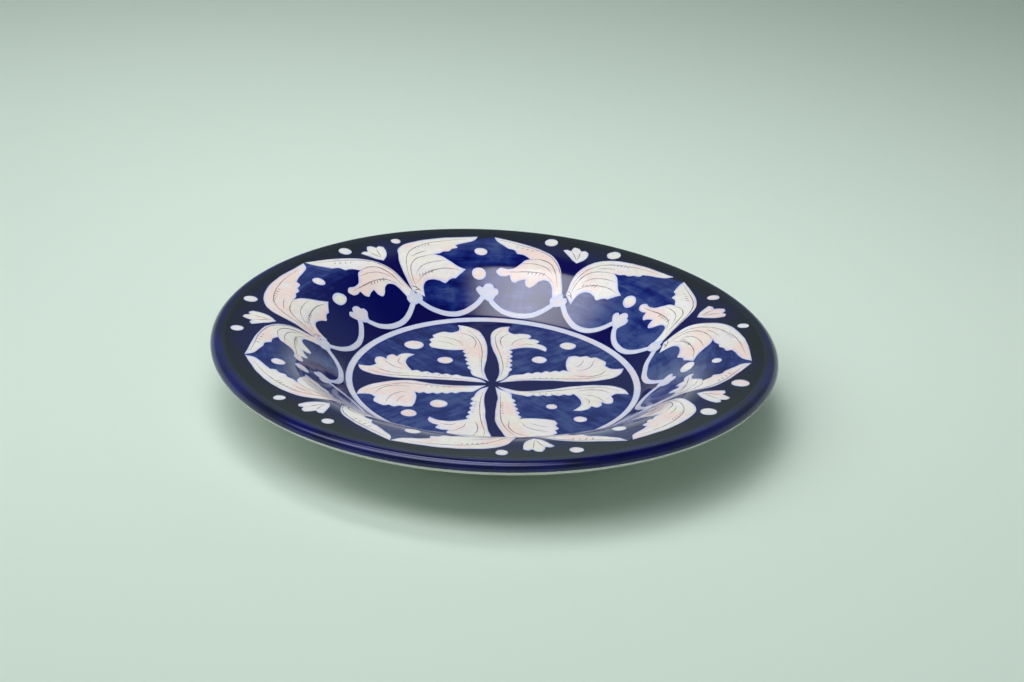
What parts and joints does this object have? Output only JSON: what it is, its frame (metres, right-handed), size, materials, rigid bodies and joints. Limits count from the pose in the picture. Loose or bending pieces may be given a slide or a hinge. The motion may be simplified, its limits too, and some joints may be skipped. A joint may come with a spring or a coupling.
{
  "type": "plate",
  "caption": "Round thrown ceramic plate with a dished well, a sloped wall, a wide flat rim, a rolled lip and a turned foot ring, glazed on every side.",
  "frame": {"origin": "centre of the foot's standing face, on the surface that the plate stands on", "axes": "+Z is the plate's axis of revolution, up out of the well; -Y is the side nearest to the viewer"},
  "size_m": [0.25, 0.25, 0.0349],
  "materials": {
    "fired_clay": "bare fired earthenware, matte",
    "cobalt_glaze": "glossy cobalt blue glaze",
    "navy_glaze": "glossy near-black navy glaze",
    "white_glaze": "glossy warm white glaze",
    "back_glaze": "glossy pale cream glaze"
  },
  "bodies": {
    "root": {"clay_body": "fired_clay", "foot_ring": "fired_clay", "well_glaze": "cobalt_glaze", "well_line": "white_glaze", "rim_glaze": "navy_glaze", "lip_glaze": "cobalt_glaze", "back_glaze": "back_glaze", "recess_glaze": "back_glaze"}
  },
  "joints": []
}
